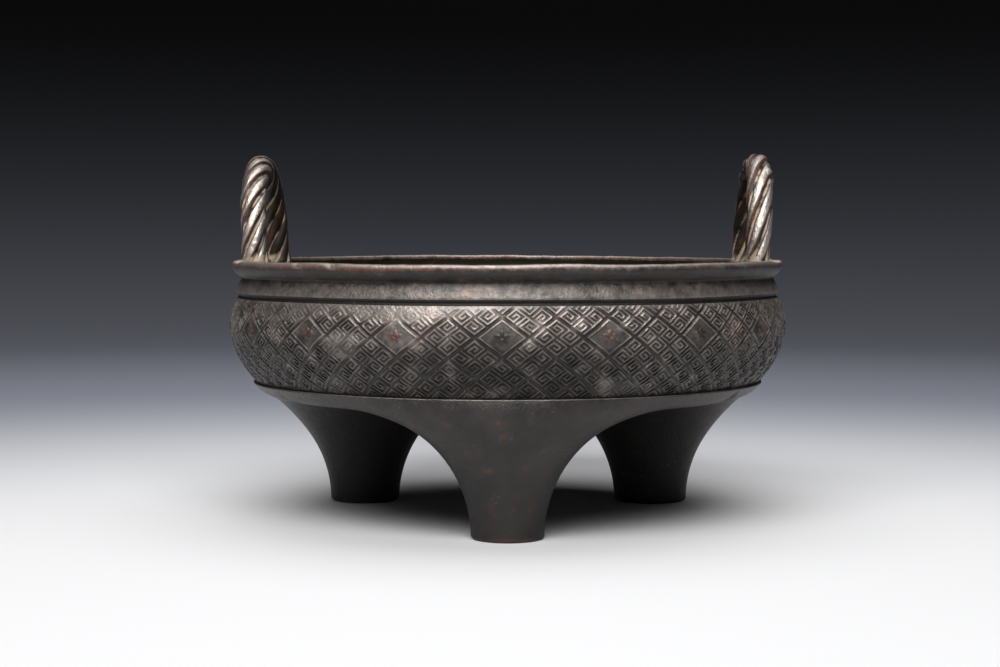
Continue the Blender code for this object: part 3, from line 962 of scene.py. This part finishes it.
def loop_path(rope, rise):
    """(sideways, up, lean, distance along, size) from below the front seat to the back one."""
    half = rope.span / 2
    straight = math.ceil(rope.upright / ALONG_GAP)
    arch = math.ceil(math.pi * rise / ALONG_GAP)
    climb = [rope.upright * i / straight for i in range(straight)]
    places = [(-half, up, 0.0) for up in climb]
    for i in range(arch + 1):
        turn = math.pi * i / arch
        lean = math.atan2(half * math.sin(turn), rise * math.cos(turn))
        places.append((-half * math.cos(turn), rope.upright + rise * math.sin(turn), lean))
    places += [(half, up, math.pi) for up in reversed(climb)]
    distance = 0.0
    path = []
    for i, (side, up, lean) in enumerate(places):
        if i:
            distance += math.hypot(side - places[i - 1][0], up - places[i - 1][1])
        path.append((side, up, lean, distance, 1.0))
    start, end = [], []
    for i in range(1, END_STEPS + 1):
        turn = math.pi / 2 * i / (END_STEPS + 0.5)
        drop = rope.radius * math.sin(turn)
        start.insert(0, (path[0][0], path[0][1] - drop, 0.0, -drop, math.cos(turn)))
        end.append((path[-1][0], path[-1][1] - drop, math.pi, distance + drop, math.cos(turn)))
    return start + path + end


def strand_outline(rope, turn):
    """Radius over the strands, and each point's place across its strand, from -1 to 1."""
    pitch = math.tau / rope.strands
    strand = np.floor(turn / pitch + 0.5).astype(int)
    across = (turn - strand * pitch) / (pitch / 2)
    size = np.array(STRAND_SIZES)[strand % rope.strands]
    fall = 0.35 * np.abs(across) ** 2 + 0.65 * np.abs(across) ** 4.5
    return rope.radius * size - rope.groove * 1.15 * fall, across


def model_loop(name, form, rope, side, rise, lead, phase, knob=None):
    """One rope loop, its strands twisted along the arch, one of them swelling at the knob."""
    place = Matrix.Rotation(rope.turn, 4, "Z")
    place @= Matrix.Translation((side * (form.lip - rope.inset), 0, form.rim - rope.seat))
    place @= Matrix.Rotation(side * rope.lean, 4, "Y")
    sideways, up, lean, distance, size = np.array(loop_path(rope, rise)).T[:, :, None]
    around = np.arange(ROUND_POINTS) * math.tau / ROUND_POINTS
    reach, across = strand_outline(rope, around - (math.tau * distance / lead + phase))
    reach = reach * size * (1 + FOOT_FLARE * np.exp(-np.maximum(up, 0) / FLARE_HEIGHT))
    x, normal = reach * np.sin(around), reach * np.cos(around)
    y, z = sideways - normal * np.cos(lean), up + normal * np.sin(lean)
    points = np.stack([x, y, z], -1).reshape(-1, 3)
    points = points @ np.array(place.to_3x3()).T + np.array(place.translation)
    first = np.arange(ROUND_POINTS)
    low = np.arange(len(up) - 1)[:, None] * ROUND_POINTS + first
    after = low - first + (first + 1) % ROUND_POINTS
    quads = np.stack([low, after, after + ROUND_POINTS, low + ROUND_POINTS], -1)
    ends = [first.tolist(), (low[-1] + ROUND_POINTS).tolist()]
    loop = mesh_object(name, points, quads.reshape(-1, 4).tolist() + ends)
    tidy_mesh(loop, FINE_MERGE)
    up, outer = (np.broadcast_to(k, reach.shape).ravel() for k in (up, np.cos(around)))
    across = across.ravel()
    groove = np.abs(across)
    lumps = clouds(points, 0.0042, 1.7 + side) * 0.00020 + clouds(points, 0.0013, 5.2) * 0.00007
    normals = np.zeros(len(points) * 3)
    loop.data.vertices.foreach_get("normal", normals)
    patch = clouds(points, 0.005, 2.9 * side)
    if knob:
        lumps += KNOB_HEIGHT * hill(np.linalg.norm(points - knob, axis=1), KNOB_RADIUS)
    points = points + normals.reshape(-1, 3) * lumps[:, None]
    set_coordinates(loop, hand_made(points))
    foot = 1 - smooth(0.0008, 0.0050, up)
    crown = 1 - smooth(0.45, 0.80, groove)
    shaded = smooth(0.12, 0.50, across) * (1 - smooth(0.78, 0.92, across))
    handled = smooth(-0.35, 0.25, outer)
    bare = crown * handled * (1.25 + 0.6 * patch)
    # Bright metal where hands rub the crowns; painted shade on each strand's lower side takes most
    # of it away, and the foot keeps less.
    mark(loop, "bare", bare * (1 - 0.85 * shaded) * (1 - 0.6 * foot))
    mark(loop, "copper", 0.20 + (0.45 + 0.5 * patch) * shaded + 0.50 * smooth(0.0, 0.4, -patch))
    # Painted shade on each strand's lower side and on the loop's inner side.
    mark(loop, "deep", 0.35 * shaded + 0.4 * (1 - handled))
    dust = 0.80 + 0.55 * clouds(points, 0.0034, 4.4 * side)
    mark(loop, "pale", dust * smooth(0.62, 0.92, groove) + foot * (0.55 + 0.5 * patch))
    mark(loop, "olive", (1 - handled) * 0.8)
    return loop


# Studio

SWEEP_STEPS = 40
FLOOR_STEPS = 96
WORLD_COLOUR = (0.80, 0.84, 0.90, 1)
WORLD_STRENGTH = 0.006
SPREAD = math.radians(110)
# (name, place, aim, width and depth) of the soft boxes
SOFT_BOXES = (
    ("key", (-0.10, -0.79, 0.85), (0, 0, 0.05), (1.05, 0.54)),
    ("top", (0.03, 0.12, 0.95), (0, 0.05, 0), (1.1, 0.9)),
)


def add_camera(studio):
    data = bpy.data.cameras.new("camera")
    data.sensor_width = 36
    data.lens = studio.focal * data.sensor_width / PHOTO_WIDTH
    data.clip_start = 0.01
    data.clip_end = 50
    camera = new_object("camera", data)
    camera.location = (0, -studio.distance, studio.height)
    camera.rotation_euler = (math.pi / 2 - studio.tilt, 0, studio.swing)
    bpy.context.scene.camera = camera


def add_floor(studio):
    """A round paper floor that sweeps up into a wall far behind, the same on every side, its
    colour fading away from the bowl as painted fall-off of the light.
    """
    sweep = studio.sweep
    profile = [(0.0, 0.0), (studio.floor_radius, 0.0)]
    for i in range(1, SWEEP_STEPS + 1):
        turn = math.pi / 2 * i / SWEEP_STEPS
        reach = studio.floor_radius + sweep * math.sin(turn)
        profile.append((reach, sweep * (1 - math.cos(turn))))
    profile.append((studio.floor_radius + sweep, 2 * sweep))
    floor = spun("studio_floor", profile, FLOOR_STEPS)
    tidy_mesh(floor, FLOOR_MERGE, inside=True)
    bpy.ops.object.shade_smooth()
    sheet = Sheet("pale paper")
    place = sheet.add("ShaderNodeTexCoord", output="Object")
    ahead = {0: place, 1: (0, -studio.fade_ahead, 0)}
    away = sheet.add("ShaderNodeVectorMath", {"operation": "DISTANCE"}, ahead, output="Value")
    # Painted fall-off of the light: pale near the bowl, darkening behind and far away.
    behind = away.eased(studio.middle_start, studio.middle_end)
    far = away.eased(studio.backdrop_start, studio.backdrop_end)
    base = sheet.mix(behind, studio.floor_colour, studio.middle_falloff_colour)
    base = sheet.mix(far, base, studio.far_falloff_colour)
    sheet.plug(sheet.shader.inputs["Base Color"], base)
    sheet.shader.inputs["Roughness"].default_value = 0.75
    floor.data.materials.append(sheet.material)


def add_soft_box(name, place, aim, size, power):
    """A rectangular soft light, turned towards its aim."""
    data = bpy.data.lights.new(name, "AREA")
    data.shape = "RECTANGLE"
    data.size, data.size_y = size
    data.energy = power
    data.spread = SPREAD
    light = new_object(name, data)
    light.location = place
    light.rotation_euler = (Vector(aim) - Vector(place)).to_track_quat("-Z", "Y").to_euler()


def add_world():
    """The faint light from all round, and plain colours in the picture."""
    world = bpy.context.scene.world or bpy.data.worlds.new("studio")
    bpy.context.scene.world = world
    world.use_nodes = True
    background = world.node_tree.nodes["Background"]
    background.inputs["Color"].default_value = WORLD_COLOUR
    background.inputs["Strength"].default_value = WORLD_STRENGTH
    bpy.context.scene.view_settings.view_transform = "Standard"


class CENSER_OT_studio(bpy.types.Operator):
    """Sets the camera, the pale floor and the soft light."""

    bl_idname = "censer.studio"
    bl_label = "Add Studio"

    def execute(self, context):
        studio = context.scene.censer_studio
        add_camera(studio)
        add_floor(studio)
        add_world()
        for name, *setting in SOFT_BOXES:
            add_soft_box(name, *setting, getattr(studio, name + "_power"))
        return {"FINISHED"}


class CENSER_OT_bowl(bpy.types.Operator):
    """Models the bowl with its lip, neck and three legs."""

    bl_idname = "censer.bowl"
    bl_label = "Add Bowl"

    def execute(self, context):
        form = Form(context.scene)
        bowl = model_bowl(form)
        weather_bowl(bowl, form, context.scene.censer_rope)
        finish_piece(bowl, patina("bowl bronze", context.scene.censer_colours), BOWL_CREASE)
        return {"FINISHED"}


class CENSER_OT_diaper(bpy.types.Operator):
    """Carves the lozenge diaper round the belly, in three rings."""

    bl_idname = "censer.diaper"
    bl_label = "Carve Diaper"

    def execute(self, context):
        form = Form(context.scene)
        carved = carve(form)
        material = patina("carved bronze", context.scene.censer_colours, grain_depth=0.8)
        for name, low, high in zip(RING_NAMES, RING_ROWS, RING_ROWS[1:]):
            finish_piece(model_ring(name, form, carved, low, high), material)
        return {"FINISHED"}


class CENSER_OT_loops(bpy.types.Operator):
    """Twists the two rope loops and stands them on the lip."""

    bl_idname = "censer.loops"
    bl_label = "Add Rope Loops"

    def execute(self, context):
        form = Form(context.scene)
        rope = context.scene.censer_rope
        colours = context.scene.censer_colours
        material = patina("rope bronze", colours, grain_depth=1.3, shine=1.3)
        for name, side, *shape in (
            ("loop_left", -1, rope.left_rise, rope.left_lead, rope.left_phase),
            ("loop_right", 1, rope.right_rise, rope.right_lead, rope.right_phase, RIGHT_KNOB),
        ):
            finish_piece(model_loop(name, form, rope, side, *shape), material)
        return {"FINISHED"}


class CENSER_PT_panel(bpy.types.Panel):
    """Sidebar panel with the censer's sizes, colours and pieces."""

    bl_idname = "CENSER_PT_panel"
    bl_label = "Bronze Censer"
    bl_space_type = "VIEW_3D"
    bl_region_type = "UI"
    bl_category = "Censer"

    def draw(self, context):
        for name in GROUPS:
            group = getattr(context.scene, name)
            box = self.layout.box()
            for key in group.__annotations__:
                box.prop(group, key)
        for step in STEPS:
            self.layout.operator(step.bl_idname)


GROUPS = {
    "censer_sizes": CenserSizes,
    "censer_diaper": DiaperSizes,
    "censer_rope": RopeSizes,
    "censer_colours": PatinaColours,
    "censer_studio": StudioSettings,
}
STEPS = (CENSER_OT_studio, CENSER_OT_bowl, CENSER_OT_diaper, CENSER_OT_loops)


def register():
    for part in (*GROUPS.values(), *STEPS, CENSER_PT_panel):
        bpy.utils.register_class(part)
    for name, group in GROUPS.items():
        setattr(bpy.types.Scene, name, PointerProperty(type=group))


def unregister():
    for name in GROUPS:
        delattr(bpy.types.Scene, name)
    for part in (CENSER_PT_panel, *reversed(STEPS), *reversed(GROUPS.values())):
        bpy.utils.unregister_class(part)


def main():
    register()
    bpy.ops.censer.studio()
    bpy.ops.censer.bowl()
    bpy.ops.censer.diaper()
    bpy.ops.censer.loops()


if __name__ == "__main__":
    main()
